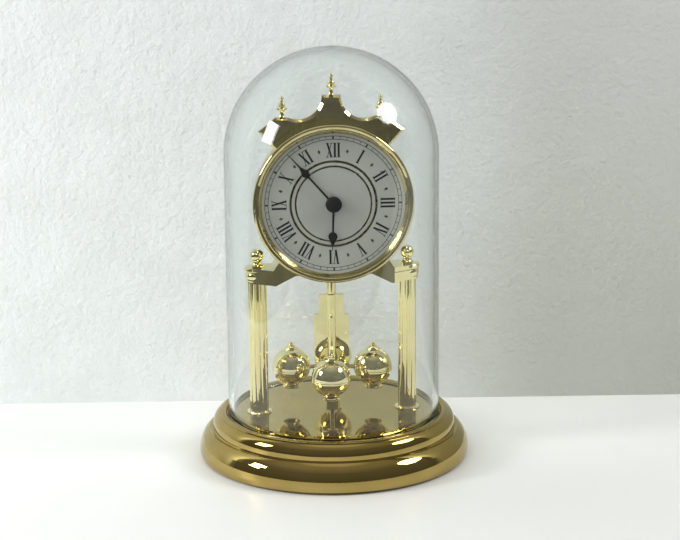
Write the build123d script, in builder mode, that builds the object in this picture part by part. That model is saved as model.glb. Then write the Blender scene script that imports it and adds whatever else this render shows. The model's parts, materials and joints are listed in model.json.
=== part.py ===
"""Anniversary clock: a battery clock with a turning ball pendulum under a glass dome.

Millimetres, +Z up. The origin is the centre of the felt foot on the table, the dial faces -Y
and the two columns stand to the left (-X) and right (+X) of it.
"""
from math import cos, radians, sin
import os

from build123d import *

os.makedirs("parts", exist_ok=True)

# ---------------------------------------------------------------- driving dimensions
base_radius = 75.0          # widest part of the brass skirt
rim_z = 1.2                 # lower edge of the skirt, just above the table
platform_radius = 55.0
platform_z = 25.0           # top of the flat disc that the columns stand on
platform_thickness = 1.8
flange_z = platform_z - platform_thickness
seat_z = 24.4               # floor of the groove that the dome stands in
dome_radius = 58.5
glass_thickness = 2.8
dome_top_z = 227.9

column_spacing = 82.8
column_x = column_spacing / 2
column_radius = 5.15
column_bore = 3.6
flute_count = 12
foot_radius = 7.1
foot_height = 1.3
rod_radius = 1.5
fit_gap = 0.02              # radial gap where one piece is pushed onto another
running_gap = 0.06          # radial gap where one piece turns in another

beam_bottom_z = 99.6
beam_top_z = 107.9
beam_front_y = -12.5
beam_back_y = 7.5
beam_corner_x = 32.0        # where the middle block meets the arms
beam_seat_z = 117.0         # the movement stands on this face

dial_z = 144.4              # height of the hand axis
case_radius = 43.4
case_wall = 1.2
case_back_y = -4.0
bezel_front_y = -15.4
bezel_back_y = -11.8
dial_plate_radius = 39.6
dial_plate_thickness = 0.6
dial_front_y = bezel_back_y - dial_plate_thickness
dial_opening_radius = 38.6

crest_thickness = 3.2
crest_inner_radius = 40.5
crest_tower_z = 202.0
crest_shoulder_z = 190.4
side_finial_x = 26.6

movement_half_width = 28.5
movement_top_z = 171.4
movement_back_y = 14.5
movement_split_y = 4.0
shell_wall = 1.5
partition_z = 134.2         # wall between the battery bay and the wheels

gear_module = 0.5
gear_distance = 10.0        # between neighbouring wheel axes, all at the height of the dial axis

minute_hand_turn = 318.7    # degrees clockwise from twelve
hour_hand_turn = 182.0
minute_hand_length = 36.6
hour_hand_length = 25.5

pendulum_y = 9.5            # the pendulum turns behind the plane of the columns
pendulum_turn = -6.0        # where the pendulum stands at rest, degrees about the upright axis
plate_top_z = 88.8
ball_ring_radius = 23.0
ball_z = 47.0
ball_radius = 10.8
arm_radius = 1.3
hub_radius = 4.6

pendulum_axis = Plane(
    origin=(0, pendulum_y, 0),
    x_dir=(cos(radians(pendulum_turn)), sin(radians(pendulum_turn)), 0),
    z_dir=(0, 0, 1),
)
sides = {"left": -1, "right": 1}


def save(builder, name):
    """Label one finished sub-part and write it to its own file."""
    builder.part.label = name
    export_step(builder.part, f"parts/{name}.step")


def dial_plane(y, turn=0.0, x=0.0, z=dial_z):
    """Plane facing the viewer at depth y, its own +Y axis turned clockwise from twelve."""
    angle = radians(turn)
    return Plane(origin=(x, y, z), x_dir=(cos(angle), 0, -sin(angle)), z_dir=(0, -1, 0))


def upright_plane(x=0.0, y=0.0):
    """Plane for an upright half profile: sketch X is the radius and sketch Y is the height."""
    return Plane(origin=(x, y, 0), x_dir=(1, 0, 0), z_dir=(0, -1, 0))


def dial_profile_plane():
    """Plane for a half profile about the hand axis: sketch X is the radius, sketch Y is depth y."""
    return Plane(origin=(0, 0, dial_z), x_dir=(1, 0, 0), z_dir=(0, 0, 1))


def upright_axis(x=0.0, y=0.0):
    return Axis((x, y, 0), (0, 0, 1))


hand_axis = Axis((0, 0, dial_z), (0, 1, 0))


def turned(points, x=0.0, y=0.0):
    """Solid of revolution from (radius, height) corners about an upright axis."""
    with BuildPart() as body:
        with BuildSketch(upright_plane(x, y)):
            with BuildLine():
                Polyline(points, close=True)
            make_face()
        revolve(axis=upright_axis(x, y))
    return body


def toothed_wheel(teeth, y_front, y_back, x, first_tooth):
    """Add a spur wheel between two depths, one tooth pointing to first_tooth degrees from +X."""
    pitch_radius = gear_module * teeth / 2
    root_radius = pitch_radius - 0.9 * gear_module
    tip_radius = pitch_radius + 0.6 * gear_module
    with BuildSketch(dial_plane(y_back, x=x)) as outline:
        Circle(root_radius)
        with PolarLocations(0, teeth, start_angle=first_tooth):
            with BuildLine():
                Polyline(
                    (root_radius - 0.1, -0.31), (tip_radius, -0.15),
                    (tip_radius, 0.15), (root_radius - 0.1, 0.31), close=True,
                )
            make_face()
    extrude(outline.sketch, amount=y_back - y_front)


def block(x_min, x_max, y_min, y_max, z_min, z_max, mode=Mode.ADD):
    """Box between opposite corners, added to or cut from the part being built."""
    centre = ((x_min + x_max) / 2, (y_min + y_max) / 2, (z_min + z_max) / 2)
    with Locations(centre):
        Box(x_max - x_min, y_max - y_min, z_max - z_min, mode=mode)


def bore(x, y_min, y_max, z, radius, mode=Mode.SUBTRACT):
    """Round hole or pin along the depth, between two depths."""
    with BuildSketch(dial_plane(y_max, x=x, z=z)) as outline:
        Circle(radius)
    extrude(outline.sketch, amount=y_max - y_min, mode=mode)


# ---------------------------------------------------------------- base
with BuildPart() as base_shell:
    with BuildSketch(upright_plane()):
        with BuildLine():
            Polyline(
                (36.0, flange_z - 1.0), (36.0, flange_z), (55.3, flange_z), (55.3, seat_z),
                (59.4, seat_z), (59.4, 25.0),
            )
            ThreePointArc((59.4, 25.0), (61.4, 25.9), (63.3, 25.2))
            Polyline((63.3, 25.2), (63.5, 24.6), (63.9, 24.6))
            ThreePointArc((63.9, 24.6), (66.1, 22.5), (67.3, 19.0))
            Polyline((67.3, 19.0), (67.3, 16.8), (67.6, 16.1), (69.3, 16.1))
            ThreePointArc((69.3, 16.1), (71.4, 14.3), (73.1, 12.0))
            ThreePointArc((73.1, 12.0), (74.3, 9.2), (base_radius - 0.1, 6.0))
            Polyline(
                (base_radius - 0.1, 6.0), (base_radius, 4.0), (base_radius - 0.5, rim_z + 0.4),
                (base_radius - 0.9, rim_z), (71.0, rim_z), (71.0, rim_z + 0.6),
                (base_radius - 1.8, rim_z + 0.6), (base_radius - 1.1, 4.0), (base_radius - 1.1, 6.0),
            )
            ThreePointArc((base_radius - 1.1, 6.0), (73.3, 9.0), (72.2, 11.5))
            ThreePointArc((72.2, 11.5), (70.6, 13.6), (68.7, 15.1))
            Polyline((68.7, 15.1), (66.8, 15.1), (66.3, 15.8), (66.3, 19.0))
            ThreePointArc((66.3, 19.0), (65.2, 21.9), (63.2, 23.5))
            Polyline((63.2, 23.5), (58.0, flange_z - 1.0), (36.0, flange_z - 1.0))
        make_face()
    revolve(axis=Axis.Z)
    with Locations((-column_x, 0, flange_z), (column_x, 0, flange_z)):
        Hole(rod_radius + running_gap)
save(base_shell, "base_shell")

with BuildPart() as base_platform:
    with BuildSketch(Plane.XY.offset(flange_z)):
        Circle(platform_radius)
        with Locations((-column_x, 0), (column_x, 0)):
            Circle(rod_radius + running_gap, mode=Mode.SUBTRACT)
    extrude(amount=platform_thickness)
    chamfer(base_platform.edges().filter_by(GeomType.CIRCLE).sort_by(SortBy.RADIUS)[-2:], 0.3)
save(base_platform, "base_platform")

underplate_z = rim_z + 0.6
with BuildPart() as base_underplate:
    with BuildSketch(Plane.XY.offset(underplate_z)):
        Circle(72.0)
    extrude(amount=1.0)
save(base_underplate, "base_underplate")

with BuildPart() as felt_foot:
    with BuildSketch(Plane.XY):
        Circle(70.6)
        Circle(58.0, mode=Mode.SUBTRACT)
    extrude(amount=underplate_z)
save(felt_foot, "felt_foot")

cup_top_z = platform_z + 4.8
guide_cup = turned(
    [(2.2, platform_z), (4.4, platform_z), (4.4, platform_z + 2.5), (2.4, cup_top_z),
     (2.2, cup_top_z)],
    y=pendulum_y,
)
save(guide_cup, "guide_cup")

# ---------------------------------------------------------------- columns
column_bottom_z = platform_z + foot_height
rod_bottom_z = flange_z - 5.2
nut_top_z = flange_z - 1.8
for side, sign in sides.items():
    x = sign * column_x

    with BuildPart() as column:
        with BuildSketch(Plane.XY.offset(column_bottom_z)):
            with Locations((x, 0)):
                Circle(column_radius)
                Circle(column_bore, mode=Mode.SUBTRACT)
                with PolarLocations(column_radius + 0.45, flute_count, start_angle=15):
                    Circle(0.95, mode=Mode.SUBTRACT)
        extrude(amount=beam_bottom_z - column_bottom_z)
    save(column, f"column_{side}")

    column_foot = turned(
        [(rod_radius + fit_gap, platform_z), (foot_radius - 0.3, platform_z),
         (foot_radius, platform_z + 0.4), (foot_radius - 0.3, platform_z + 0.9),
         (foot_radius - 1.2, column_bottom_z), (column_bore - fit_gap, column_bottom_z),
         (column_bore - fit_gap, column_bottom_z + 4), (rod_radius + fit_gap, column_bottom_z + 4)],
        x=x,
    )
    save(column_foot, f"column_foot_{side}")

    with BuildPart() as tie_rod:
        with Locations((x, 0, rod_bottom_z)):
            Cylinder(rod_radius, 112.5 - rod_bottom_z, align=(Align.CENTER, Align.CENTER, Align.MIN))
    save(tie_rod, f"tie_rod_{side}")

    ball_nut_z = 114.1
    ball_nut_radius = 3.8
    with BuildPart() as ball_nut:
        with Locations((x, 0, ball_nut_z)):
            Sphere(ball_nut_radius)
        with BuildSketch(upright_plane(x)):
            with BuildLine():
                Polyline((0, beam_top_z), (3.5, beam_top_z), (3.5, beam_top_z + 0.8))
                ThreePointArc((3.5, beam_top_z + 0.8), (2.5, beam_top_z + 2.0), (2.5, 111.6))
                Polyline((2.5, 111.6), (0, 111.6), (0, beam_top_z))
            make_face()
        revolve(axis=upright_axis(x))
        with Locations((x, 0, beam_top_z)):
            Cylinder(
                rod_radius + fit_gap, 4.8,
                align=(Align.CENTER, Align.CENTER, Align.MIN), mode=Mode.SUBTRACT,
            )
    save(ball_nut, f"ball_nut_{side}")

with BuildPart() as rod_washers:
    with BuildSketch(Plane.XY.offset(nut_top_z)):
        with Locations((-column_x, 0), (column_x, 0)):
            Circle(4.0)
            Circle(rod_radius + running_gap, mode=Mode.SUBTRACT)
    extrude(amount=0.8)
save(rod_washers, "rod_washers")

with BuildPart() as rod_nuts:
    with BuildSketch(Plane.XY.offset(nut_top_z - 2.4)):
        with Locations((-column_x, 0), (column_x, 0)):
            RegularPolygon(3.1, 6)
            Circle(rod_radius + fit_gap, mode=Mode.SUBTRACT)
    extrude(amount=2.4)
save(rod_nuts, "rod_nuts")

# ---------------------------------------------------------------- cross beam
housing_half_width = 11.0
housing_front_y = 2.0
case_screw_x = 18.0
case_screw_z = 111.0
groove_bottom_z = 105.0     # a groove runs round each arm and its capital
groove_top_z = 105.8
groove_depth = 0.6
arm_layers = (              # lower edge, upper edge and how far the sides stand back
    (beam_bottom_z, groove_bottom_z, 0),
    (groove_bottom_z, groove_top_z, groove_depth),
    (groove_top_z, beam_top_z, 0),
)
with BuildPart() as cross_beam:
    with BuildSketch(dial_plane(beam_back_y, z=0)):
        with BuildLine():
            Polyline(
                (-31.6, beam_bottom_z), (-20.8, 105.0), (20.8, 105.0), (31.6, beam_bottom_z),
                (33.0, beam_bottom_z), (33.0, beam_top_z), (30.0, 112.3), (27.5, beam_seat_z),
                (-27.5, beam_seat_z), (-30.0, 112.3), (-33.0, beam_top_z),
                (-33.0, beam_bottom_z), close=True,
            )
        make_face()
    extrude(amount=beam_back_y - beam_front_y)
    for sign in sides.values():
        x = sign * column_x
        for z_low, z_high, inset in arm_layers:
            with BuildSketch(Plane.XY.offset(z_low)):
                with Locations((sign * (beam_corner_x - 0.5), (beam_front_y + beam_back_y) / 2)):
                    Rectangle(1.0, beam_back_y - beam_front_y - 2 * inset)
                with Locations((x, 0)):
                    Circle(6.2 - inset)
                make_hull()
            extrude(amount=z_high - z_low)
        with BuildSketch(upright_plane(x)):
            with BuildLine():
                Polyline((0, beam_bottom_z), (6.1, beam_bottom_z), (6.3, 100.8), (6.1, 101.4))
                ThreePointArc((6.1, 101.4), (6.7, 103.0), (6.3, groove_bottom_z))
                Polyline(
                    (6.3, groove_bottom_z), (6.2 - groove_depth, groove_bottom_z),
                    (6.2 - groove_depth, groove_top_z), (6.7, groove_top_z), (7.0, 106.4),
                    (7.0, 107.4), (6.6, beam_top_z), (0, beam_top_z), (0, beam_bottom_z),
                )
            make_face()
        revolve(axis=upright_axis(x))
    with BuildSketch(dial_plane(case_back_y)):
        Circle(case_radius + fit_gap)
    extrude(amount=20, mode=Mode.SUBTRACT)
    with Locations((0, (housing_front_y + beam_back_y) / 2 + 5, 110)):
        Box(2 * housing_half_width, beam_back_y - housing_front_y + 10, 40, mode=Mode.SUBTRACT)
    with Locations((-column_x, 0, beam_top_z), (column_x, 0, beam_top_z)):
        Hole(rod_radius + running_gap)
    with BuildSketch(dial_plane(beam_back_y, z=case_screw_z)):
        with Locations((-case_screw_x, 0), (case_screw_x, 0)):
            Circle(1.25)
    extrude(amount=beam_back_y - case_back_y, mode=Mode.SUBTRACT)
save(cross_beam, "cross_beam")

with BuildPart() as case_screws:
    with BuildSketch(dial_plane(beam_back_y, z=case_screw_z)):
        with Locations((-case_screw_x, 0), (case_screw_x, 0)):
            Circle(1.2)
    extrude(amount=beam_back_y - case_back_y)
    with BuildSketch(dial_plane(beam_back_y + 1.5, z=case_screw_z)):
        with Locations((-case_screw_x, 0), (case_screw_x, 0)):
            Circle(2.4)
    extrude(amount=1.5)
    with BuildSketch(dial_plane(beam_back_y + 1.5, z=case_screw_z)):
        with Locations((-case_screw_x, 0), (case_screw_x, 0)):
            Rectangle(0.6, 5.0)
    extrude(amount=0.7, mode=Mode.SUBTRACT)
save(case_screws, "case_screws")

# ---------------------------------------------------------------- dial case, bezel and dial
movement_screw_x = 20.0
movement_screw_z = 163.0
with BuildPart() as dial_case:
    with BuildSketch(dial_plane(case_back_y)):
        Circle(case_radius)
    extrude(amount=case_back_y - bezel_back_y)
    with BuildSketch(dial_plane(case_back_y - case_wall)):
        Circle(case_radius - case_wall)
    extrude(amount=20, mode=Mode.SUBTRACT)
    with BuildSketch(dial_plane(bezel_back_y + 1.0)):
        Circle(case_radius - case_wall)
        Circle(36.5, mode=Mode.SUBTRACT)
    extrude(amount=1.0)
    with BuildSketch(dial_plane(case_back_y)):
        Circle(4.5)
        with Locations(
            (-movement_screw_x, movement_screw_z - dial_z), (movement_screw_x, movement_screw_z - dial_z),
        ):
            Circle(1.05)
    extrude(amount=case_wall, mode=Mode.SUBTRACT)
save(dial_case, "dial_case")

with BuildPart() as bezel:
    with BuildSketch(dial_profile_plane()):
        with BuildLine():
            Polyline((case_radius, bezel_back_y), (case_radius, -14.0))
            ThreePointArc((case_radius, -14.0), (43.0, -15.0), (42.2, bezel_front_y))
            Polyline((42.2, bezel_front_y), (41.0, -15.0))
            ThreePointArc((41.0, -15.0), (40.4, -15.3), (39.9, -14.9))
            Polyline(
                (39.9, -14.9), (dial_opening_radius, -13.1), (dial_opening_radius, dial_front_y),
                (dial_plate_radius + 0.2, dial_front_y), (dial_plate_radius + 0.2, bezel_back_y),
                (case_radius, bezel_back_y),
            )
        make_face()
    revolve(axis=hand_axis)
save(bezel, "bezel")

with BuildPart() as dial_plate:
    with BuildSketch(dial_plane(bezel_back_y)):
        Circle(dial_plate_radius)
        Circle(3.0, mode=Mode.SUBTRACT)
    extrude(amount=dial_plate_thickness)
save(dial_plate, "dial_plate")

# ---------------------------------------------------------------- crest and finials
crest_front_y = case_back_y
crest_back_y = crest_front_y + crest_thickness
sweep_radius = 13.0
sweep_x = 18.0
shoulder_inner_x = 23.4
shoulder_outer_x = 30.0
corner = (39.6, 182.8)
crest_foot = (29.9, 171.72)
shoulder_meet_z = crest_tower_z - (sweep_radius**2 - (shoulder_inner_x - sweep_x) ** 2) ** 0.5
sweep_bottom = (sweep_x - sweep_radius * sin(radians(35)), crest_tower_z - sweep_radius * cos(radians(35)))
with BuildPart() as crest:
    with BuildSketch(dial_plane(crest_back_y, z=0)):
        with BuildLine():
            for sign in sides.values():
                ThreePointArc(
                    (sign * (sweep_x - sweep_radius), crest_tower_z),
                    (sign * sweep_bottom[0], sweep_bottom[1]),
                    (sign * shoulder_inner_x, shoulder_meet_z),
                )
                Polyline(
                    (sign * shoulder_inner_x, shoulder_meet_z), (sign * shoulder_outer_x, crest_shoulder_z),
                )
                ThreePointArc(
                    (sign * shoulder_outer_x, crest_shoulder_z), (sign * 35.2, 186.1),
                    (sign * corner[0], corner[1]),
                )
                Polyline((sign * corner[0], corner[1]), (sign * crest_foot[0], crest_foot[1]))
            Line((sweep_radius - sweep_x, crest_tower_z), (sweep_x - sweep_radius, crest_tower_z))
            ThreePointArc(
                (-crest_foot[0], crest_foot[1]), (0, dial_z + crest_inner_radius),
                (crest_foot[0], crest_foot[1]),
            )
        make_face()
    extrude(amount=crest_thickness)
    front_edges = crest.faces().sort_by(Axis.Y)[0].edges()
    hidden_edge = front_edges.filter_by(GeomType.CIRCLE).sort_by(Axis.Z)[0]
    chamfer([edge for edge in front_edges if edge != hidden_edge], 1.3)
save(crest, "crest")

finial_y = (crest_front_y + crest_back_y) / 2
finial_feet = {
    "left": (-side_finial_x, crest_shoulder_z),
    "centre": (0, crest_tower_z),
    "right": (side_finial_x, crest_shoulder_z),
}
for place, (x, foot_z) in finial_feet.items():
    with BuildPart() as finial:
        with BuildSketch(upright_plane(x, finial_y)):
            with BuildLine():
                Polyline((0, foot_z), (1.55, foot_z), (1.55, foot_z + 0.4))
                ThreePointArc((1.55, foot_z + 0.4), (1.1, foot_z + 2.0), (1.3, foot_z + 3.6))
                Polyline((1.3, foot_z + 3.6), (2.9, foot_z + 4.4), (3.0, foot_z + 4.9), (1.5, foot_z + 5.6))
                ThreePointArc((1.5, foot_z + 5.6), (1.9, foot_z + 6.8), (0.7, foot_z + 8.2))
                Polyline((0.7, foot_z + 8.2), (0.6, foot_z + 9.6), (0, foot_z + 9.6), (0, foot_z))
            make_face()
        revolve(axis=upright_axis(x, finial_y))
        with Locations((x, finial_y, foot_z + 10.4)):
            Sphere(1.2)
    save(finial, f"finial_{place}")

# ---------------------------------------------------------------- movement
inner_half_width = movement_half_width - shell_wall
bay_bottom_z = beam_seat_z + shell_wall
bay_front_y = -1.0
room_bottom_z = partition_z + shell_wall
room_top_z = movement_top_z - shell_wall
room_front_y = case_back_y + shell_wall
knob_x = 2 * gear_distance
arbor_radius = 0.75
tube_radius = 2.2
knob_shaft_radius = 1.2
bridge_front_y = 2.6
bridge_back_y = bridge_front_y + 1.0

with BuildPart() as movement_front:
    block(-movement_half_width, movement_half_width, case_back_y, movement_split_y,
          beam_seat_z, movement_top_z)
    block(-inner_half_width, inner_half_width, bay_front_y, movement_split_y,
          bay_bottom_z, partition_z, Mode.SUBTRACT)
    block(-inner_half_width, inner_half_width, room_front_y, movement_split_y,
          room_bottom_z, room_top_z, Mode.SUBTRACT)
    for sign in sides.values():
        bore(sign * movement_screw_x, room_front_y, 0.8, movement_screw_z, 2.2, Mode.ADD)
        bore(sign * movement_screw_x, case_back_y, 0.5, movement_screw_z, 1.0)
    bore(gear_distance, room_front_y, bridge_front_y, dial_z, 0.5, Mode.ADD)
    bore(0, case_back_y, room_front_y, dial_z, tube_radius + running_gap)
    bore(knob_x, room_front_y - 0.6, room_front_y, dial_z, 0.6 + running_gap)
save(movement_front, "movement_front")

with BuildPart() as movement_back:
    block(-movement_half_width, movement_half_width, movement_split_y, movement_back_y,
          beam_seat_z, movement_top_z)
    block(-inner_half_width, inner_half_width, movement_split_y, movement_back_y,
          bay_bottom_z, partition_z, Mode.SUBTRACT)
    block(-inner_half_width, inner_half_width, movement_split_y, movement_back_y - shell_wall,
          room_bottom_z, room_top_z, Mode.SUBTRACT)
    bore(knob_x, movement_back_y - shell_wall, movement_back_y, dial_z,
         knob_shaft_radius + running_gap)
save(movement_back, "movement_back")

screw_head_y = case_back_y - case_wall
with BuildPart() as movement_screws:
    for sign in sides.values():
        bore(sign * movement_screw_x, screw_head_y, 0.4, movement_screw_z, 0.98, Mode.ADD)
        bore(sign * movement_screw_x, screw_head_y - 1.0, screw_head_y, movement_screw_z, 1.9,
             Mode.ADD)
save(movement_screws, "movement_screws")

battery_radius = 7.2
battery_y = bay_front_y + battery_radius + 0.2
battery_z = (bay_bottom_z + partition_z) / 2
cell_half_length = 24.6
with BuildPart() as battery:
    with BuildSketch(Plane(origin=(-cell_half_length, battery_y, battery_z), z_dir=(1, 0, 0))):
        Circle(battery_radius)
    extrude(amount=2 * cell_half_length - 1.0)
    with BuildSketch(Plane(origin=(cell_half_length - 1.0, battery_y, battery_z), z_dir=(1, 0, 0))):
        Circle(2.7)
    extrude(amount=1.0)
    fillet(battery.edges().filter_by(GeomType.CIRCLE).sort_by(Axis.X)[0], 0.5)
save(battery, "battery")

contact_thickness = 0.4
for end, sign in (("minus", -1), ("plus", 1)):
    face_x = sign * (inner_half_width - contact_thickness)
    with BuildPart() as contact:
        block(min(face_x, sign * inner_half_width), max(face_x, sign * inner_half_width),
              battery_y - 5, battery_y + 5, battery_z - 5, battery_z + 5)
        with BuildSketch(Plane(origin=(face_x, battery_y, battery_z), z_dir=(-sign, 0, 0))):
            Circle(3.2)
        extrude(amount=1.4, taper=35)
    save(contact, f"battery_contact_{end}")

with BuildPart() as gear_bridge:
    block(-9, inner_half_width, bridge_front_y, bridge_back_y, room_bottom_z, 156)
    bore(0, bridge_front_y, bridge_back_y, dial_z, arbor_radius + running_gap)
    bore(knob_x, bridge_front_y, bridge_back_y, dial_z, knob_shaft_radius + running_gap)
save(gear_bridge, "gear_bridge")

with BuildPart() as circuit_board:
    block(-26, 12, 9.0, 10.2, 140, 168)
    block(-12, -2, 8.0, 9.0, 146, 154)
save(circuit_board, "circuit_board")

with BuildPart() as quartz_crystal:
    with Locations((7, 7.7, 153)):
        Cylinder(1.3, 7.0)
save(quartz_crystal, "quartz_crystal")

coil_y = 5.6
coil_z = 163.0
with BuildPart() as motor_core:
    block(-17, 7, coil_y - 0.6, coil_y + 0.6, coil_z - 1.2, coil_z + 1.2)
save(motor_core, "motor_core")

with BuildPart() as motor_coil:
    with BuildSketch(Plane(origin=(-15, coil_y, coil_z), x_dir=(0, 0, 1), z_dir=(1, 0, 0))):
        Circle(3.0)
        Rectangle(2.4, 1.2, mode=Mode.SUBTRACT)
    extrude(amount=20)
save(motor_coil, "motor_coil")

# ---------------------------------------------------------------- motion work and hands
hour_wheel_front_y = -1.9
hour_wheel_back_y = -0.9
minute_layer_front_y = -0.4
minute_layer_back_y = 0.8
hour_hand_y = -13.0         # back face of the hour hand
minute_hand_y = -13.7       # back face of the minute hand
hand_thickness = 0.3
cap_radius = 4.4

with BuildPart() as centre_arbor:
    toothed_wheel(10, minute_layer_front_y, minute_layer_back_y, 0, 0)
    bore(0, minute_hand_y - 0.7, bridge_back_y + 0.4, dial_z, arbor_radius, Mode.ADD)
save(centre_arbor, "centre_arbor")

with BuildPart() as hour_wheel:
    toothed_wheel(32, hour_wheel_front_y, hour_wheel_back_y, 0, 360 / 64)
    bore(0, hour_hand_y - 0.5, hour_wheel_front_y, dial_z, tube_radius, Mode.ADD)
    bore(0, hour_hand_y - 0.5, hour_wheel_back_y, dial_z, arbor_radius + running_gap)
save(hour_wheel, "hour_wheel")

with BuildPart() as minute_wheel:
    toothed_wheel(30, minute_layer_front_y, minute_layer_back_y, gear_distance, 6)
    toothed_wheel(8, room_front_y + 0.3, minute_layer_front_y, gear_distance, 0)
    bore(gear_distance, room_front_y, minute_layer_back_y, dial_z, 0.5 + running_gap)
save(minute_wheel, "minute_wheel")

knob_front_y = movement_back_y + 0.5
knob_back_y = knob_front_y + 4.0
with BuildPart() as set_wheel:
    toothed_wheel(10, minute_layer_front_y, minute_layer_back_y, knob_x, 0)
    bore(knob_x, room_front_y - 0.4, room_front_y + 0.6, dial_z, 0.6, Mode.ADD)
    bore(knob_x, room_front_y + 0.6, knob_front_y + 3.0, dial_z, knob_shaft_radius, Mode.ADD)
save(set_wheel, "set_wheel")

with BuildPart() as set_knob:
    bore(knob_x, knob_front_y, knob_back_y, dial_z, 5.2, Mode.ADD)
    with BuildSketch(dial_plane(knob_back_y, x=knob_x)):
        with PolarLocations(5.4, 24):
            Circle(0.45)
    extrude(amount=knob_back_y - knob_front_y, mode=Mode.SUBTRACT)
    bore(knob_x, knob_front_y, knob_front_y + 3.0, dial_z, knob_shaft_radius + fit_gap)
save(set_knob, "set_knob")


def hand(back_y, turn, boss_radius, bore_radius, spade, blade):
    """Add a flat hand: boss, blade from the boss to the tip, and a round or pointed spade."""
    with BuildSketch(dial_plane(back_y, turn)) as outline:
        Circle(boss_radius)
        with BuildLine():
            Polyline(blade + [(-width, reach) for width, reach in reversed(blade)], close=True)
        make_face()
        with BuildLine():
            Polyline(spade + [(-width, reach) for width, reach in reversed(spade[1:-1])], close=True)
        make_face()
        Circle(bore_radius, mode=Mode.SUBTRACT)
    extrude(outline.sketch, amount=hand_thickness)


with BuildPart() as hour_hand:
    hand(
        hour_hand_y, hour_hand_turn, 3.4, tube_radius + fit_gap,
        [(0, 15.0), (1.9, 19.3), (0.9, 22.0), (0, 23.0)],
        [(0.6, 2.0), (0.45, 17.0), (0.15, hour_hand_length)],
    )
    with BuildSketch(dial_plane(hour_hand_y, hour_hand_turn)):
        with Locations((0, 17.9)):
            Circle(2.45)
    extrude(amount=hand_thickness)
save(hour_hand, "hour_hand")

with BuildPart() as minute_hand:
    hand(
        minute_hand_y, minute_hand_turn, cap_radius, arbor_radius + fit_gap,
        [(0, 19.6), (0.9, 20.4), (2.2, 22.6), (1.2, 25.2), (0, 28.4)],
        [(0.6, 2.0), (0.45, 21.0), (0.45, 27.0), (0.12, minute_hand_length)],
    )
save(minute_hand, "minute_hand")

cap_back_y = minute_hand_y - hand_thickness
with BuildPart() as hand_cap:
    bore(0, cap_back_y - 1.0, cap_back_y, dial_z, cap_radius, Mode.ADD)
    fillet(hand_cap.edges().sort_by(Axis.Y)[0], 0.6)
    bore(0, minute_hand_y - 0.7, cap_back_y, dial_z, arbor_radius + fit_gap)
save(hand_cap, "hand_cap")

# ---------------------------------------------------------------- pendulum drive
housing_bottom_z = 101.0
housing_top_z = 116.8
housing_back_y = 17.0
housing_wall = 1.2
spindle_radius = 0.75
guard_radius = 2.55
guard_bottom_z = plate_top_z + 0.4
bush_top_z = housing_bottom_z + 2.0


def on_pendulum_axis(radius, z_min, z_max, mode=Mode.ADD):
    """Upright pin or hole on the axis that the pendulum turns about."""
    with BuildSketch(pendulum_axis.offset(z_min)) as outline:
        Circle(radius)
    extrude(outline.sketch, amount=z_max - z_min, mode=mode)


with BuildPart() as drive_housing:
    block(-housing_half_width, housing_half_width, housing_front_y, housing_back_y,
          housing_bottom_z, housing_top_z)
    block(-housing_half_width + housing_wall, housing_half_width - housing_wall,
          housing_front_y + housing_wall, housing_back_y,
          housing_bottom_z + housing_wall, housing_top_z - housing_wall, Mode.SUBTRACT)
    on_pendulum_axis(2.2, housing_bottom_z, housing_bottom_z + housing_wall, Mode.SUBTRACT)
save(drive_housing, "drive_housing")

with BuildPart() as drive_cover:
    block(-housing_half_width, housing_half_width, housing_back_y, housing_back_y + 1.0,
          housing_bottom_z, housing_top_z)
save(drive_cover, "drive_cover")

with BuildPart() as spindle_bush:
    on_pendulum_axis(2.2, housing_bottom_z, bush_top_z)
    on_pendulum_axis(spindle_radius + running_gap, housing_bottom_z, bush_top_z, Mode.SUBTRACT)
save(spindle_bush, "spindle_bush")

with BuildPart() as guard_tube:
    on_pendulum_axis(guard_radius, guard_bottom_z, housing_bottom_z)
    on_pendulum_axis(1.7, guard_bottom_z, housing_bottom_z, Mode.SUBTRACT)
save(guard_tube, "guard_tube")

with BuildPart() as drive_coil:
    on_pendulum_axis(6.1, bush_top_z + 2.2, bush_top_z + 5.4)
    on_pendulum_axis(4.6, bush_top_z + 2.2, bush_top_z + 5.4, Mode.SUBTRACT)
save(drive_coil, "drive_coil")

spindle_bottom_z = plate_top_z - 6.0
with BuildPart() as drive_spindle:
    on_pendulum_axis(spindle_radius, spindle_bottom_z, housing_top_z - housing_wall - 0.6)
    on_pendulum_axis(1.6, bush_top_z + 0.05, bush_top_z + 1.0)
save(drive_spindle, "drive_spindle")

with BuildPart() as drive_magnet:
    on_pendulum_axis(4.0, bush_top_z + 2.0, bush_top_z + 5.6)
    on_pendulum_axis(spindle_radius, bush_top_z + 2.0, bush_top_z + 5.6, Mode.SUBTRACT)
save(drive_magnet, "drive_magnet")

# ---------------------------------------------------------------- pendulum
plate_bottom_z = ball_z + 2.4
plate_step_z = 77.3
plate_thickness = 4.0
plate_upper_width = 13.8
plate_lower_width = 19.4
rib_radius = 3.05
with BuildPart() as pendulum_plate:
    plate_face = Plane(
        origin=pendulum_axis.origin - pendulum_axis.y_dir * plate_thickness / 2,
        x_dir=pendulum_axis.x_dir, z_dir=-pendulum_axis.y_dir,
    )
    with BuildSketch(plate_face.offset(-plate_thickness)):
        with Locations((0, (plate_bottom_z + plate_step_z) / 2)):
            Rectangle(plate_lower_width, plate_step_z - plate_bottom_z)
        with Locations((0, (plate_bottom_z + plate_top_z) / 2)):
            Rectangle(plate_upper_width, plate_top_z - plate_bottom_z)
    extrude(amount=plate_thickness)
    on_pendulum_axis(rib_radius, plate_bottom_z, plate_top_z)
    on_pendulum_axis(spindle_radius, spindle_bottom_z, plate_top_z, Mode.SUBTRACT)
save(pendulum_plate, "pendulum_plate")

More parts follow.
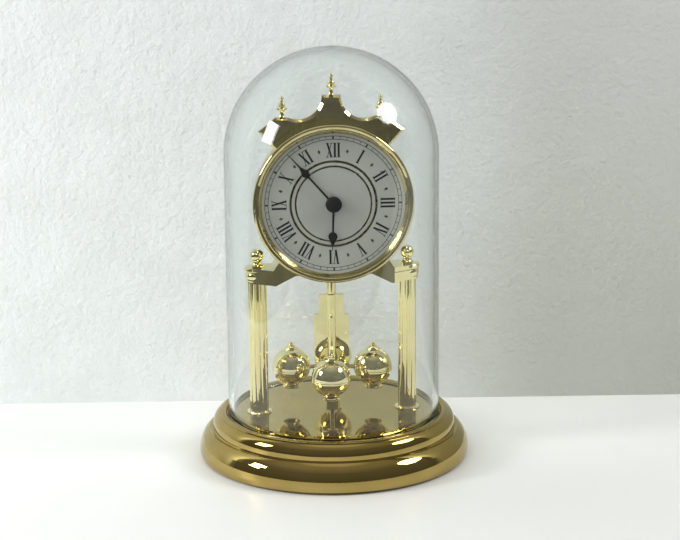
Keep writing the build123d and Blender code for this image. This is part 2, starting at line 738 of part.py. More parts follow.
spigot_bottom_z = platform_z + 1.0
arm_sink = 1.5
arm_length = ball_ring_radius - ball_radius + arm_sink
with BuildPart() as pendulum_spider:
    on_pendulum_axis(hub_radius, ball_z - 3.2, plate_bottom_z)
    on_pendulum_axis(2.2, ball_z - 6.0, ball_z - 3.2)
    on_pendulum_axis(1.2, spigot_bottom_z, ball_z - 6.0)
    with BuildSketch(*[
        Plane(pendulum_axis.offset(ball_z).origin, z_dir=axis)
        for axis in (pendulum_axis.x_dir, -pendulum_axis.x_dir, pendulum_axis.y_dir, -pendulum_axis.y_dir)
    ]):
        Circle(arm_radius)
    extrude(amount=arm_length)
save(pendulum_spider, "pendulum_spider")

ball_quarters = {"right": 0, "rear": 90, "left": 180, "front": 270}
collar_radius = 3.7
collar_z = ball_z + (ball_radius**2 - collar_radius**2) ** 0.5
cup_radius = 4.5
cup_z = ball_z - (ball_radius**2 - cup_radius**2) ** 0.5
for place, quarter in ball_quarters.items():
    outward = radians(quarter + pendulum_turn)
    ball_x = ball_ring_radius * cos(outward)
    ball_y = pendulum_y + ball_ring_radius * sin(outward)
    with BuildPart() as ball:
        with BuildSketch(upright_plane(ball_x, ball_y)):
            with BuildLine():
                Polyline(
                    (0, ball_z - 10.4), (3.4, ball_z - 10.4), (3.9, cup_z - 2.0),
                    (cup_radius + 0.4, cup_z - 2.0), (cup_radius + 0.4, cup_z - 1.4),
                    (cup_radius, cup_z - 1.0), (cup_radius, cup_z),
                )
                RadiusArc((cup_radius, cup_z), (ball_radius - 0.15, ball_z - 1.8), -ball_radius)
                Polyline(
                    (ball_radius - 0.15, ball_z - 1.8), (ball_radius + 0.15, ball_z - 1.6),
                    (ball_radius + 0.15, ball_z - 1.0), (ball_radius - 0.05, ball_z - 0.8),
                    (ball_radius + 0.1, ball_z - 0.6), (ball_radius + 0.1, ball_z - 0.1),
                    (ball_radius, ball_z),
                )
                RadiusArc((ball_radius, ball_z), (collar_radius, collar_z), -ball_radius)
                Polyline(
                    (collar_radius, collar_z), (collar_radius + 0.2, collar_z + 0.3),
                    (collar_radius, collar_z + 0.7), (2.35, collar_z + 0.8),
                    (2.35, collar_z + 1.8), (1.9, collar_z + 2.2), (0, collar_z + 2.2),
                    (0, ball_z - 10.4),
                )
            make_face()
        revolve(axis=upright_axis(ball_x, ball_y))
        with Locations((ball_x, ball_y, collar_z + 2.8)):
            Sphere(1.2)
        inward = Plane(
            origin=(ball_x, ball_y, ball_z), z_dir=(-cos(outward), -sin(outward), 0),
        )
        with BuildSketch(inward.offset(ball_radius - arm_sink - 0.1)):
            Circle(arm_radius + fit_gap)
        extrude(amount=arm_sink + 2, mode=Mode.SUBTRACT)
    save(ball, f"ball_{place}")

# ---------------------------------------------------------------- dome
dome_centre_z = dome_top_z - dome_radius
dome_inner_radius = dome_radius - glass_thickness
with BuildPart() as glass_dome:
    with BuildSketch(upright_plane()):
        with BuildLine():
            Polyline(
                (dome_inner_radius, dome_centre_z), (dome_inner_radius, seat_z),
                (dome_radius + 0.3, seat_z), (dome_radius + 0.6, seat_z + 0.8),
                (dome_radius + 0.3, seat_z + 2.0), (dome_radius, seat_z + 3.2),
                (dome_radius, dome_centre_z),
            )
            RadiusArc((dome_radius, dome_centre_z), (0, dome_top_z), -dome_radius)
            Line((0, dome_top_z), (0, dome_top_z - glass_thickness))
            RadiusArc(
                (0, dome_top_z - glass_thickness), (dome_inner_radius, dome_centre_z), dome_inner_radius,
            )
        make_face()
    revolve(axis=Axis.Z)
save(glass_dome, "glass_dome")
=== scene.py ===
"""Looks of the anniversary clock: gold plated frame, spun brass base, silvered dial and glass dome."""
import json
from math import cos, pi, radians, sin

import bmesh
import bpy
from mathutils import Matrix, Vector


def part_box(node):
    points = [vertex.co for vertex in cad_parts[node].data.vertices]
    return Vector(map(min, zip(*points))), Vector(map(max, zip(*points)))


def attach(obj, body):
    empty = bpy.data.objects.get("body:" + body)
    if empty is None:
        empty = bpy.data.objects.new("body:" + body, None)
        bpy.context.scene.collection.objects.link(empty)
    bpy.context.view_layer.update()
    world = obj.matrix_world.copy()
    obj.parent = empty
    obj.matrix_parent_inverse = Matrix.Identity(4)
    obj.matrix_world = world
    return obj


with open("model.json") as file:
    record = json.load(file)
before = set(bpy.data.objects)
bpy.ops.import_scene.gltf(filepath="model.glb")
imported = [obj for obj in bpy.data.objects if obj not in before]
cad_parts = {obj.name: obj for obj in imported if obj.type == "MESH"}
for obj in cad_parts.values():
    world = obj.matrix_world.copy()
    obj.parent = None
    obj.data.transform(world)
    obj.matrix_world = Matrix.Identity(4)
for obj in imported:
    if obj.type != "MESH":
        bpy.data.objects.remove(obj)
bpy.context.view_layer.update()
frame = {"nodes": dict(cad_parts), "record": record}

nodes = frame["nodes"]
MM = 0.001


# ---------------------------------------------------------------- node helpers
def feed(tree, socket, value):
    """Give an input socket its value, or a link when the value is another socket."""
    if isinstance(value, bpy.types.NodeSocket):
        tree.links.new(value, socket)
    else:
        socket.default_value = value


def add_node(tree, kind, settings=None, **inputs):
    """One shader node. Inputs go by socket name, spaces as underscores, or by _ and their number."""
    made = tree.nodes.new(kind)
    for name, value in (settings or {}).items():
        setattr(made, name, value)
    for name, value in inputs.items():
        key = int(name[1:]) if name[0] == "_" else name.replace("_", " ")
        feed(tree, made.inputs[key], value)
    return made


def calc(tree, operation, *values):
    """Result of one math node."""
    made = tree.nodes.new("ShaderNodeMath")
    made.operation = operation
    for socket, value in zip(made.inputs, values):
        feed(tree, socket, value)
    return made.outputs[0]


def spread(tree, value, low, high, to_low=0.0, to_high=1.0):
    """A value moved from one range to another and held inside it, with soft ends."""
    made = add_node(
        tree, "ShaderNodeMapRange", {"interpolation_type": "SMOOTHSTEP"},
        Value=value, From_Min=low, From_Max=high, To_Min=to_low, To_Max=to_high,
    )
    return made.outputs["Result"]


def blend_colours(tree, factor, first, second):
    """Mix of two colours. A mix node keeps its colour sockets at 6 and 7, and its result at 2."""
    made = tree.nodes.new("ShaderNodeMix")
    made.data_type = "RGBA"
    for number, value in ((0, factor), (6, first), (7, second)):
        feed(tree, made.inputs[number], value)
    return made.outputs[2]


def noise(tree, place, scale, detail=3.0, roughness=0.5, distortion=0.0):
    """Noise from 0 to 1 at a place."""
    made = add_node(
        tree, "ShaderNodeTexNoise", Vector=place, Scale=scale, Detail=detail, Roughness=roughness,
        Distortion=distortion,
    )
    return made.outputs["Fac"]


def new_group(name, inputs, outputs):
    """A node group with number or colour inputs (name, value) and outputs (name, socket type)."""
    group = bpy.data.node_groups.new(name, "ShaderNodeTree")
    for label, value in inputs:
        kind = "NodeSocketColor" if isinstance(value, tuple) else "NodeSocketFloat"
        socket = group.interface.new_socket(label, in_out="INPUT", socket_type=kind)
        socket.default_value = value
    for label, kind in outputs:
        group.interface.new_socket(label, in_out="OUTPUT", socket_type=kind)
    entry = group.nodes.new("NodeGroupInput")
    leave = group.nodes.new("NodeGroupOutput")
    place = group.nodes.new("ShaderNodeTexCoord").outputs["Object"]
    return group, entry.outputs, leave.inputs, place


def use_group(tree, group, **inputs):
    """Outputs of a node group put into a tree, its inputs given by name with spaces as underscores."""
    made = tree.nodes.new("ShaderNodeGroup")
    made.node_tree = group
    for name, value in inputs.items():
        feed(tree, made.inputs[name.replace("_", " ")], value)
    return made.outputs


# ---------------------------------------------------------------- shared surface effects
def make_polish_haze():
    """Uneven polish: cloudy patches and small smears between a bright and a dull roughness."""
    group, given, out, place = new_group(
        "polish_haze", [("Bright", 0.05), ("Dull", 0.15), ("Patch Scale", 60.0)],
        [("Roughness", "NodeSocketFloat")],
    )
    cloud = noise(group, place, given["Patch Scale"], 4.0, 0.6)
    smear_scale = calc(group, "MULTIPLY", given["Patch Scale"], 9.0)
    smear = noise(group, place, smear_scale, 2.0, 0.5, 0.6)
    both = calc(group, "ADD", calc(group, "MULTIPLY", cloud, 0.7), calc(group, "MULTIPLY", smear, 0.3))
    mask = spread(group, both, 0.36, 0.68)
    span = calc(group, "SUBTRACT", given["Dull"], given["Bright"])
    group.links.new(calc(group, "MULTIPLY_ADD", mask, span, given["Bright"]), out["Roughness"])
    return group


def make_tone_drift():
    """Slow change between two tones of one finish."""
    group, given, out, place = new_group(
        "tone_drift", [("Light", (0.8, 0.8, 0.8, 1.0)), ("Deep", (0.6, 0.6, 0.6, 1.0)), ("Scale", 40.0)],
        [("Color", "NodeSocketColor")],
    )
    mask = spread(group, noise(group, place, given["Scale"], 3.0, 0.55), 0.3, 0.7)
    group.links.new(blend_colours(group, mask, given["Light"], given["Deep"]), out["Color"])
    return group


def make_plating_ripple():
    """Height of a plated or blown surface: slow ripple with a fine orange peel on it, in metres."""
    group, given, out, place = new_group(
        "plating_ripple", [("Ripple", 0.00001), ("Peel", 0.0000005), ("Scale", 90.0)],
        [("Height", "NodeSocketFloat")],
    )
    slow = noise(group, place, given["Scale"], 1.0, 0.4)
    fine = noise(group, place, calc(group, "MULTIPLY", given["Scale"], 14.0), 2.0, 0.5)
    ripple = calc(group, "MULTIPLY", slow, given["Ripple"])
    peel = calc(group, "MULTIPLY", fine, given["Peel"])
    group.links.new(calc(group, "ADD", ripple, peel), out["Height"])
    return group


def make_spun_rings():
    """Height of the fine rings that spinning and buffing leave round the upright axis, in metres."""
    group, given, out, place = new_group(
        "spun_rings", [("Depth", 0.0000006), ("Per Metre", 2600.0)], [("Height", "NodeSocketFloat")],
    )
    parts = add_node(group, "ShaderNodeSeparateXYZ", Vector=place).outputs
    squares = [calc(group, "POWER", parts[axis], 2.0) for axis in ("X", "Y")]
    radius = calc(group, "SQRT", calc(group, "ADD", *squares))
    profile = add_node(
        group, "ShaderNodeCombineXYZ", X=calc(group, "MULTIPLY", radius, given["Per Metre"]),
        Y=calc(group, "MULTIPLY", parts["Z"], given["Per Metre"]),
    ).outputs[0]
    rings = noise(group, profile, 1.0, 3.0, 0.6)
    group.links.new(calc(group, "MULTIPLY", rings, given["Depth"]), out["Height"])
    return group


def make_fine_grain():
    """Height of the even fine grain on a moulded or blasted surface, in metres."""
    group, given, out, place = new_group(
        "fine_grain", [("Depth", 0.00001), ("Scale", 3000.0)], [("Height", "NodeSocketFloat")],
    )
    grain = noise(group, place, given["Scale"], 2.0, 0.6)
    group.links.new(calc(group, "MULTIPLY", grain, given["Depth"]), out["Height"])
    return group


def make_settled_dust():
    """Specks and a thin film of dust on what faces up."""
    group, given, out, place = new_group(
        "settled_dust", [("Amount", 0.2), ("Scale", 900.0)], [("Mask", "NodeSocketFloat")],
    )
    normal = group.nodes.new("ShaderNodeNewGeometry").outputs["Normal"]
    upward = add_node(group, "ShaderNodeSeparateXYZ", Vector=normal).outputs["Z"]
    facing_up = spread(group, upward, 0.3, 0.95)
    specks = spread(group, noise(group, place, given["Scale"], 2.0, 0.7), 0.62, 0.74)
    film = spread(group, noise(group, place, 35.0, 3.0), 0.35, 0.75, 0.15, 0.5)
    cover = calc(group, "MULTIPLY", calc(group, "MAXIMUM", specks, film), facing_up)
    group.links.new(calc(group, "MULTIPLY", cover, given["Amount"]), out["Mask"])
    return group


polish_haze = make_polish_haze()
tone_drift = make_tone_drift()
plating_ripple = make_plating_ripple()
spun_rings = make_spun_rings()
fine_grain = make_fine_grain()
settled_dust = make_settled_dust()


# ---------------------------------------------------------------- materials
def new_material(name, **plain):
    """A material with one Principled shader. Plain values are set on its own sockets."""
    material = bpy.data.materials.new(name)
    material.use_nodes = True
    tree = material.node_tree
    shader = tree.nodes["Principled BSDF"]
    for label, value in plain.items():
        shader.inputs[label.replace("_", " ")].default_value = value
    return material, tree, shader


def bump(tree, shader, height):
    """Lead a height in metres into the shader's normal."""
    made = add_node(tree, "ShaderNodeBump", Strength=1.0, Distance=1.0, Height=height)
    tree.links.new(made.outputs[0], shader.inputs["Normal"])


dust_colour = (0.62, 0.60, 0.55, 1.0)


def tone(light, deep, scale, tree, shader, dust=0.0):
    """Base colour that drifts between two tones, with dust on top if asked for."""
    colour = use_group(tree, tone_drift, Light=(*light, 1.0), Deep=(*deep, 1.0), Scale=scale)["Color"]
    if dust:
        mask = use_group(tree, settled_dust, Amount=dust)["Mask"]
        colour = blend_colours(tree, mask, colour, dust_colour)
    tree.links.new(colour, shader.inputs["Base Color"])


def make_plated_gold(name, light, deep, bright, dull, ripple, peel):
    """Mirror gold on a moulded or turned piece."""
    material, tree, shader = new_material(name, Metallic=1.0, Specular_IOR_Level=0.5)
    tone(light, deep, 55.0, tree, shader)
    haze = use_group(tree, polish_haze, Bright=bright, Dull=dull, Patch_Scale=70.0)["Roughness"]
    tree.links.new(haze, shader.inputs["Roughness"])
    bump(tree, shader, use_group(tree, plating_ripple, Ripple=ripple, Peel=peel)["Height"])
    return material


def make_spun_brass(name, light, deep, bright, dull, depth, dust):
    """Lacquered spun brass with fine rings round the upright axis."""
    material, tree, shader = new_material(
        name, Metallic=1.0, Coat_Weight=0.10, Coat_Roughness=0.04, Coat_IOR=1.45,
    )
    tone(light, deep, 30.0, tree, shader, dust)
    haze = use_group(tree, polish_haze, Bright=bright, Dull=dull, Patch_Scale=28.0)["Roughness"]
    tree.links.new(haze, shader.inputs["Roughness"])
    bump(tree, shader, use_group(tree, spun_rings, Depth=depth)["Height"])
    return material


def make_plastic(name, light, deep, roughness, grain_depth, dust=0.0):
    """Moulded plastic, card or wrap with a fine grain."""
    material, tree, shader = new_material(name, IOR=1.49)
    tone(light, deep, 45.0, tree, shader, dust)
    haze = use_group(tree, polish_haze, Bright=roughness - 0.06, Dull=roughness + 0.1, Patch_Scale=80.0)
    tree.links.new(haze["Roughness"], shader.inputs["Roughness"])
    bump(tree, shader, use_group(tree, fine_grain, Depth=grain_depth, Scale=2600.0)["Height"])
    return material


def make_small_metal(name, light, deep, bright, dull, grain_depth):
    """Plain metal of a small piece or of metallic ink, with close patches of polish and fine grain."""
    material, tree, shader = new_material(name, Metallic=1.0)
    tone(light, deep, 300.0, tree, shader)
    haze = use_group(tree, polish_haze, Bright=bright, Dull=dull, Patch_Scale=300.0)["Roughness"]
    tree.links.new(haze, shader.inputs["Roughness"])
    bump(tree, shader, use_group(tree, fine_grain, Depth=grain_depth, Scale=4000.0)["Height"])
    return material


def make_felt():
    """Dark green felt with a short nap."""
    material, tree, shader = new_material(
        "green_felt", Roughness=0.95, Sheen_Weight=0.4, Sheen_Roughness=0.5,
    )
    tone((0.035, 0.13, 0.06), (0.02, 0.075, 0.035), 900.0, tree, shader)
    bump(tree, shader, use_group(tree, fine_grain, Depth=0.00025, Scale=1500.0)["Height"])
    return material


def make_dial_silver():
    """Silvered dial: satin lacquer over a fine blasted plate, a little lighter in soft clouds."""
    material, tree, shader = new_material("silvered_dial", Metallic=0.35, Specular_IOR_Level=0.4)
    tone((0.53, 0.535, 0.495), (0.47, 0.475, 0.435), 26.0, tree, shader)
    haze = use_group(tree, polish_haze, Bright=0.34, Dull=0.5, Patch_Scale=30.0)["Roughness"]
    tree.links.new(haze, shader.inputs["Roughness"])
    bump(tree, shader, use_group(tree, fine_grain, Depth=0.000012, Scale=2600.0)["Height"])
    return material


def make_dome_glass():
    """Blown glass: clear, slightly wavy and green through its thick edges. It lets the lamps through."""
    material, tree, shader = new_material(
        "dome_glass", Base_Color=(1.0, 1.0, 1.0, 1.0), Metallic=0.0, Transmission_Weight=1.0, IOR=1.46,
    )
    haze = use_group(tree, polish_haze, Bright=0.0, Dull=0.012, Patch_Scale=18.0)["Roughness"]
    tree.links.new(haze, shader.inputs["Roughness"])
    bump(tree, shader, use_group(tree, plating_ripple, Ripple=0.00001, Peel=0.0, Scale=22.0)["Height"])
    clear = add_node(tree, "ShaderNodeBsdfTransparent", Color=(0.985, 0.995, 0.99, 1.0))
    lamp_ray = tree.nodes.new("ShaderNodeLightPath").outputs["Is Shadow Ray"]
    both = add_node(tree, "ShaderNodeMixShader", _0=lamp_ray, _1=shader.outputs[0], _2=clear.outputs[0])
    out = tree.nodes["Material Output"]
    tree.links.new(both.outputs[0], out.inputs["Surface"])
    depth_tint = add_node(tree, "ShaderNodeVolumeAbsorption", Color=(0.45, 0.97, 0.90, 1.0), Density=8.0)
    tree.links.new(depth_tint.outputs[0], out.inputs["Volume"])
    return material


def make_hand_black():
    """Satin black paint on the hands."""
    material, tree, shader = new_material("black_hands", Specular_IOR_Level=0.45)
    tone((0.014, 0.014, 0.014), (0.008, 0.008, 0.008), 200.0, tree, shader)
    haze = use_group(tree, polish_haze, Bright=0.3, Dull=0.45, Patch_Scale=120.0)["Roughness"]
    tree.links.new(haze, shader.inputs["Roughness"])
    bump(tree, shader, use_group(tree, fine_grain, Depth=0.000004, Scale=5000.0)["Height"])
    return material


finishes = {
    "base_brass": make_spun_brass(
        "base_brass", (0.56, 0.42, 0.14), (0.48, 0.355, 0.105), 0.02, 0.05, 0.0000003, 0.01,
    ),
    "platform_gold": make_spun_brass(
        "platform_gold", (0.54, 0.42, 0.10), (0.50, 0.385, 0.08), 0.02, 0.05, 0.0000001, 0.0,
    ),
    "gold_plate": make_plated_gold(
        "gold_plate", (0.99, 0.91, 0.50), (0.95, 0.86, 0.43), 0.015, 0.045, 0.00001, 0.0000003,
    ),
    "pendulum_gold": make_plated_gold(
        "pendulum_gold", (0.99, 0.92, 0.52), (0.96, 0.87, 0.45), 0.015, 0.04, 0.000004, 0.0000002,
    ),
    "plain_steel": make_small_metal(
        "plain_steel", (0.50, 0.50, 0.49), (0.42, 0.42, 0.41), 0.22, 0.38, 0.000004,
    ),
    "zinc_nuts": make_small_metal(
        "zinc_nuts", (0.60, 0.61, 0.62), (0.50, 0.52, 0.50), 0.25, 0.45, 0.000005,
    ),
    "green_felt": make_felt(),
    "base_cover": make_plastic(
        "base_cover", (0.05, 0.05, 0.05), (0.035, 0.035, 0.035), 0.5, 0.00002,
    ),
    "silvered_dial": make_dial_silver(),
    "black_hands": make_hand_black(),
    "black_plastic": make_plastic(
        "black_plastic", (0.020, 0.020, 0.021), (0.014, 0.014, 0.015), 0.4, 0.000006, dust=0.10,
    ),
    "white_plastic": make_plastic(
        "white_plastic", (0.72, 0.71, 0.67), (0.66, 0.65, 0.60), 0.38, 0.00001,
    ),
    "wheel_plastic": make_plastic(
        "wheel_plastic", (0.62, 0.58, 0.48), (0.55, 0.51, 0.42), 0.4, 0.000008,
    ),
    "battery_wrap": make_plastic(
        "battery_wrap", (0.030, 0.032, 0.036), (0.020, 0.021, 0.024), 0.25, 0.000002,
    ),
    "contact_spring": make_small_metal(
        "contact_spring", (0.68, 0.67, 0.64), (0.58, 0.57, 0.54), 0.18, 0.32, 0.000003,
    ),
    "circuit_green": make_plastic(
        "circuit_green", (0.015, 0.11, 0.045), (0.010, 0.08, 0.03), 0.3, 0.000004,
    ),
    "coil_copper": make_small_metal(
        "coil_copper", (0.62, 0.27, 0.12), (0.50, 0.20, 0.08), 0.2, 0.34, 0.00001,
    ),
    "magnet_grey": make_small_metal(
        "magnet_grey", (0.20, 0.20, 0.21), (0.14, 0.14, 0.15), 0.4, 0.6, 0.00001,
    ),
    "dome_glass": make_dome_glass(),
}

# A dimmer copy of the plated gold for the crest and the bezel: painted shade, giving these parts a darker
# look than the rest of the gold.
shaded_copy_gold = make_plated_gold(
    "shaded_copy_gold", (0.82, 0.73, 0.39), (0.71, 0.61, 0.30), 0.02, 0.06, 0.00001, 0.0000003,
)
shaded_copy_nodes = ("crest", "bezel")
for entry in frame["record"]["subparts"]:
    material = shaded_copy_gold if entry["node"] in shaded_copy_nodes else finishes[entry["material_slot"]]
    for holder in nodes[entry["node"]].material_slots:
        holder.material = material


# ---------------------------------------------------------------- piece helpers
def finish_piece(work, name, material, body, smooth=True):
    """Turn a bmesh into a finished piece that rides on a body."""
    bmesh.ops.remove_doubles(work, verts=work.verts, dist=1e-7)
    bmesh.ops.recalc_face_normals(work, faces=work.faces)
    mesh = bpy.data.meshes.new(name)
    work.to_mesh(mesh)
    work.free()
    for face in mesh.polygons:
        face.use_smooth = smooth
    mesh.materials.append(material)
    piece = bpy.data.objects.new(name, mesh)
    bpy.context.scene.collection.objects.link(piece)
    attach(piece, body)


# ---------------------------------------------------------------- dial print
dial_low, dial_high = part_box("dial_plate")
dial_centre = Vector(((dial_low.x + dial_high.x) / 2, dial_low.y, (dial_low.z + dial_high.z) / 2))
ink_depth = 0.02 * MM
# Dial drawings are laid out flat, X to the right and Y up, then stood on the front of the dial.
onto_dial = Matrix.Translation(dial_centre) @ Matrix.Rotation(radians(90), 4, "X")


def add_stroke(work, start, end, width, place):
    """Flat straight bar between two points in millimetres, its ends cut square."""
    start, end = Vector((*start, 0)), Vector((*end, 0))
    run = end - start
    turn = Matrix.Rotation(-Vector((1, 0)).angle_signed(run.to_2d()), 4, "Z")
    size = Matrix.Diagonal((run.length, width, 1, 1))
    matrix = place @ Matrix.Translation((start + end) / 2) @ turn @ size
    bmesh.ops.create_grid(work, x_segments=1, y_segments=1, size=0.5, matrix=matrix)


def add_ring(work, radius, width, segments=180):
    """Flat ring drawn by its middle radius and its width in millimetres."""
    made = bmesh.ops.create_circle(work, segments=segments, radius=radius + width / 2)["verts"]
    rim = list({edge for vert in made for edge in vert.link_edges})
    inner = bmesh.ops.extrude_edge_only(work, edges=rim)["geom"]
    inner = [item for item in inner if isinstance(item, bmesh.types.BMVert)]
    share = (radius - width / 2) / (radius + width / 2)
    bmesh.ops.scale(work, vec=(share, share, 1), verts=inner)


def print_on_dial(work, name, material):
    """Give a flat drawing in millimetres its ink thickness and stand it on the dial."""
    lifted = bmesh.ops.extrude_face_region(work, geom=work.faces[:])["geom"]
    tops = [item for item in lifted if isinstance(item, bmesh.types.BMVert)]
    bmesh.ops.translate(work, verts=tops, vec=(0, 0, ink_depth / MM))
    bmesh.ops.transform(work, matrix=onto_dial @ Matrix.Diagonal((MM, MM, MM, 1)), verts=work.verts)
    finish_piece(work, name, material, "frame", smooth=False)


def clockwise(degrees):
    """Turn round the dial from twelve o'clock."""
    return Matrix.Rotation(radians(-degrees), 4, "Z")


# Sizes of the print are in millimetres.
numeral_foot = 25.4
numeral_height = 7.9
thick, thin, serif = 1.1, 0.38, 0.3
slant_thick = thick * 0.92
stem_serif_reach, slant_serif_reach = 0.93, 0.8
slant_inset = 0.85
point_shift = 0.1           # the foot of a V stands a little right of its middle
letter_widths = {"I": 2.05, "V": 3.9, "X": 3.9}
hours = ("XII", "I", "II", "III", "IV", "V", "VI", "VII", "VIII", "IX", "X", "XI")


def add_letter(work, letter, left, place):
    """One numeral letter with slab serifs, standing on the line y = 0."""
    width, top = letter_widths[letter], numeral_height
    middle = left + width / 2
    low, high = serif / 2, top - serif / 2
    near, far = left + slant_inset, left + width - slant_inset
    reach = slant_serif_reach
    if letter == "I":
        add_stroke(work, (middle, 0), (middle, top), thick, place)
        ends = ((middle, low), (middle, high))
        reach = stem_serif_reach
    elif letter == "V":
        point = middle + point_shift
        add_stroke(work, (near, top), (point, 0), slant_thick, place)
        add_stroke(work, (far, top), (point, 0), thin, place)
        ends = ((near, high), (far, high))
    else:
        add_stroke(work, (near, top), (far, 0), slant_thick, place)
        add_stroke(work, (far, top), (near, 0), thin, place)
        ends = ((near, low), (near, high), (far, low), (far, high))
    for x, y in ends:
        add_stroke(work, (x - reach, y), (x + reach, y), serif, place)


def make_ink_and_shade_black():
    """Black printing ink, too thin for a grain of its own. The same black is painted shade in the grub
    screw hole.
    """
    material, tree, shader = new_material("dial_ink_and_shade_black", Specular_IOR_Level=0.4)
    tone((0.016, 0.016, 0.015), (0.009, 0.009, 0.009), 300.0, tree, shader)
    haze = use_group(tree, polish_haze, Bright=0.35, Dull=0.5, Patch_Scale=200.0)["Roughness"]
    tree.links.new(haze, shader.inputs["Roughness"])
    return material


ink_and_shade_black = make_ink_and_shade_black()
ink_gold = make_small_metal(
    "dial_ink_gold", (0.20, 0.175, 0.085), (0.15, 0.13, 0.06), 0.25, 0.4, 0.000003,
)

numerals = bmesh.new()
for hour, letters in enumerate(hours):
    left = -sum(letter_widths[letter] for letter in letters) / 2
    upright = clockwise(30 * hour) @ Matrix.Translation((0, numeral_foot, 0))
    for letter in letters:
        add_letter(numerals, letter, left, upright)
        left += letter_widths[letter]
print_on_dial(numerals, "dial_numerals", ink_and_shade_black)

track_outer, track_inner = 37.0, 35.2
track_line, hour_mark, minute_mark = 0.3, 0.85, 0.26
track = bmesh.new()
for radius in (track_outer, track_inner):
    add_ring(track, radius, track_line, 240)
for minute in range(60):
    width = hour_mark if minute % 5 == 0 else minute_mark
    add_stroke(track, (0, track_inner), (0, track_outer), width, clockwise(6 * minute))
print_on_dial(track, "dial_minute_track", ink_and_shade_black)

diamond_radius, diamond_half_side, diamond_stretch = 29.4, 0.57, 1.62
stretch = Matrix.Diagonal((1, diamond_stretch, 1, 1))
turned = Matrix.Rotation(radians(45), 4, "Z")
half_hours = bmesh.new()
for hour in range(12):
    spot = clockwise(30 * hour + 15) @ Matrix.Translation((0, diamond_radius, 0)) @ stretch
    bmesh.ops.create_grid(
        half_hours, x_segments=1, y_segments=1, size=diamond_half_side, matrix=spot @ turned,
    )
print_on_dial(half_hours, "dial_half_hour_marks", ink_gold)

circles = bmesh.new()
for radius, width in ((23.2, 1.2), (20.5, 0.9)):
    add_ring(circles, radius, width)
print_on_dial(circles, "dial_double_circle", ink_gold)


# ---------------------------------------------------------------- grub screw hole in the pendulum plate, a black disc of painted shade
plate_low, plate_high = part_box("pendulum_plate")
pendulum_centre = (plate_low + plate_high) / 2
rib_front = 3.05 * MM       # from the pendulum's axis to the front of the plate's round rib
grub_height, grub_radius = 76.3 * MM, 0.5 * MM
grub_shift, grub_depth = 0.32 * MM, 0.12 * MM
# Not a cut hole: a thin black disc on the front of the rib is painted shade where the hole would lie
# dark.
grub = bmesh.new()
bmesh.ops.create_cone(
    grub, cap_ends=True, segments=24, radius1=grub_radius, radius2=grub_radius, depth=grub_depth,
    matrix=Matrix.Translation(
        (pendulum_centre.x - grub_shift, pendulum_centre.y - rib_front + grub_depth / 2, grub_height),
    ) @ Matrix.Rotation(radians(90), 4, "X"),
)
finish_piece(grub, "grub_hole_painted_shade", ink_and_shade_black, "pendulum", smooth=False)


# ---------------------------------------------------------------- camera
camera_place = (-0.0891, -1.1163, 0.3785)
camera_heading, camera_tilt, camera_roll = radians(-4.777), radians(76.25), -0.0087
camera_data = bpy.data.cameras.new("camera")
camera_data.lens = 110.94
camera_data.sensor_width = 36.0
camera = bpy.data.objects.new("camera", camera_data)
bpy.context.scene.collection.objects.link(camera)
camera.matrix_world = (
    Matrix.Translation(camera_place) @ Matrix.Rotation(camera_heading, 4, "Z")
    @ Matrix.Rotation(camera_tilt, 4, "X") @ Matrix.Rotation(camera_roll, 4, "Z")
)
bpy.context.scene.camera = camera


# ---------------------------------------------------------------- table, wall and light
def stage_plane(name, corners, material):
    """Flat stage surface from its four corners."""
    work = bmesh.new()
    work.faces.new([work.verts.new(corner) for corner in corners])
    mesh = bpy.data.meshes.new(name)
    work.to_mesh(mesh)
    work.free()
    mesh.materials.append(material)
    plane = bpy.data.objects.new(name, mesh)
    bpy.context.scene.collection.objects.link(plane)


def make_table_white():
    """White table top. Past its front and left edges polished metal mirrors the dark floor instead."""
    material, tree, shader = new_material("table_white", Roughness=0.38, Specular_IOR_Level=0.35)
    tone((0.90, 0.905, 0.89), (0.88, 0.885, 0.87), 3.0, tree, shader)
    place = tree.nodes.new("ShaderNodeTexCoord").outputs["Object"]
    parts = add_node(tree, "ShaderNodeSeparateXYZ", Vector=place).outputs
    past_front = calc(tree, "LESS_THAN", parts["Y"], table_edge_y)
    past_edge = calc(tree, "MAXIMUM", past_front, calc(tree, "LESS_THAN", parts["X"], table_edge_x))
    depth = tree.nodes.new("ShaderNodeLightPath").outputs["Glossy Depth"]
    mirrored = calc(tree, "GREATER_THAN", depth, 0.5)
    floor = add_node(tree, "ShaderNodeEmission", Color=(0.088, 0.090, 0.088, 1.0), Strength=1.0)
    both = add_node(
        tree, "ShaderNodeMixShader", _0=calc(tree, "MULTIPLY", past_edge, mirrored), _1=shader.outputs[0],
        _2=floor.outputs[0],
    )
    tree.links.new(both.outputs[0], tree.nodes["Material Output"].inputs["Surface"])
    return material


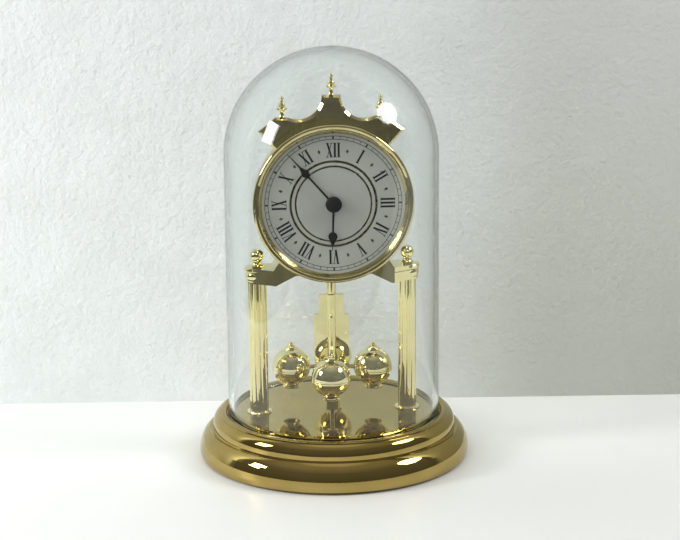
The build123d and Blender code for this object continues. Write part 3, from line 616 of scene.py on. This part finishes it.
def make_wall_paint():
    """Painted plaster, shaded on the right and most of all low down. Its back is clear."""
    material, tree, shader = new_material("wall_paint", Roughness=0.8, Specular_IOR_Level=0.2)
    place = tree.nodes.new("ShaderNodeTexCoord").outputs["Object"]
    plaster = use_group(
        tree, tone_drift, Light=(0.90, 0.935, 0.945, 1.0), Deep=(0.86, 0.895, 0.90, 1.0), Scale=30.0,
    )["Color"]
    parts = add_node(tree, "ShaderNodeSeparateXYZ", Vector=place).outputs
    to_right = spread(tree, parts["X"], *shadow_span)
    lower = spread(tree, parts["Z"], 0.34, 0.0, 0.55, 1.0)
    shade = calc(tree, "MULTIPLY", to_right, lower)
    shaded = blend_colours(tree, shade, plaster, (0.52, 0.53, 0.49, 1.0))
    tree.links.new(shaded, shader.inputs["Base Color"])
    coarse = calc(tree, "MULTIPLY", noise(tree, place, 260.0, 4.0, 0.6), 0.0012)
    slow = calc(tree, "MULTIPLY", noise(tree, place, 45.0, 2.0, 0.5), 0.0012)
    bump(tree, shader, calc(tree, "ADD", coarse, slow))
    behind = tree.nodes.new("ShaderNodeNewGeometry").outputs["Backfacing"]
    clear = tree.nodes.new("ShaderNodeBsdfTransparent")
    both = add_node(tree, "ShaderNodeMixShader", _0=behind, _1=shader.outputs[0], _2=clear.outputs[0])
    tree.links.new(both.outputs[0], tree.nodes["Material Output"].inputs["Surface"])
    return material


table_edge_x, table_edge_y = -0.36, -0.345
table_reach = 3.0
shadow_span = (0.02, 0.15)  # from here to here along X the wall goes from light to shaded
wall_middle_y, wall_slope = 0.0974, 0.0645
wall_reach, wall_height = 2.5, 2.2
stage_plane(
    "table",
    [(x * table_reach, y * table_reach, 0) for x, y in ((-1, -1), (1, -1), (1, 1), (-1, 1))],
    make_table_white(),
)
stage_plane(
    "wall",
    [
        (x * wall_reach, wall_middle_y - x * wall_slope * wall_reach, z)
        for x, z in ((-1, 0), (1, 0), (1, wall_height), (-1, wall_height))
    ],
    make_wall_paint(),
)


lamp_aim = Vector((0, 0, 0.11))


def add_lamp(name, azimuth, elevation, distance, width, height, radiance, colour, shape="RECTANGLE"):
    """Soft lamp aimed at the clock. Azimuth is from the front, positive to the right."""
    data = bpy.data.lights.new(name, "AREA")
    data.shape = shape
    data.size, data.size_y = width, height
    area = width * height * (pi / 4 if shape == "ELLIPSE" else 1.0)
    data.energy = radiance * pi * area
    data.color = colour
    lamp = bpy.data.objects.new(name, data)
    bpy.context.scene.collection.objects.link(lamp)
    turn, rise = radians(azimuth), radians(elevation)
    away = Vector((sin(turn) * cos(rise), -cos(turn) * cos(rise), sin(rise)))
    lamp.location = lamp_aim + away * distance
    lamp.rotation_euler = away.to_track_quat("Z", "Y").to_euler()
    return lamp


add_lamp("window_left", -78, 25, 1.0, 0.22, 0.31, 22.0, (1.0, 0.995, 0.97))
add_lamp("lamp_right", 77, 39, 1.1, 0.42, 0.34, 12.0, (1.0, 1.0, 0.98), "ELLIPSE")
room_fill = add_lamp("room_fill", -48, 42, 1.8, 1.4, 1.0, 1.15, (0.98, 1.0, 1.0))
room_fill.visible_glossy = False
room_fill.visible_transmission = False
room_fill.visible_camera = False


def light_world():
    """Pale room, and a darker front with a light ceiling for what the polished metal mirrors."""
    world = bpy.data.worlds.new("room")
    world.use_nodes = True
    tree = world.node_tree
    out = tree.nodes["Background"]
    direction = tree.nodes.new("ShaderNodeTexCoord").outputs["Generated"]
    height = add_node(tree, "ShaderNodeSeparateXYZ", Vector=direction).outputs["Z"]
    room = blend_colours(
        tree, spread(tree, height, 0.0, 0.62), (0.105, 0.105, 0.10, 1.0), (0.15, 0.145, 0.135, 1.0),
    )
    upper = blend_colours(tree, spread(tree, height, 0.62, 0.92), room, (0.30, 0.285, 0.25, 1.0))
    mirrored = blend_colours(tree, spread(tree, height, 0.94, 0.995), upper, (0.55, 0.54, 0.50, 1.0))
    path = tree.nodes.new("ShaderNodeLightPath").outputs["Glossy Depth"]
    in_metal = calc(tree, "GREATER_THAN", path, 0.5)
    colour = blend_colours(tree, in_metal, (0.40, 0.405, 0.40, 1.0), mirrored)
    tree.links.new(colour, out.inputs["Color"])
    world.cycles.sampling_method = "NONE"
    bpy.context.scene.world = world


light_world()
bpy.context.scene.view_settings.view_transform = "Standard"
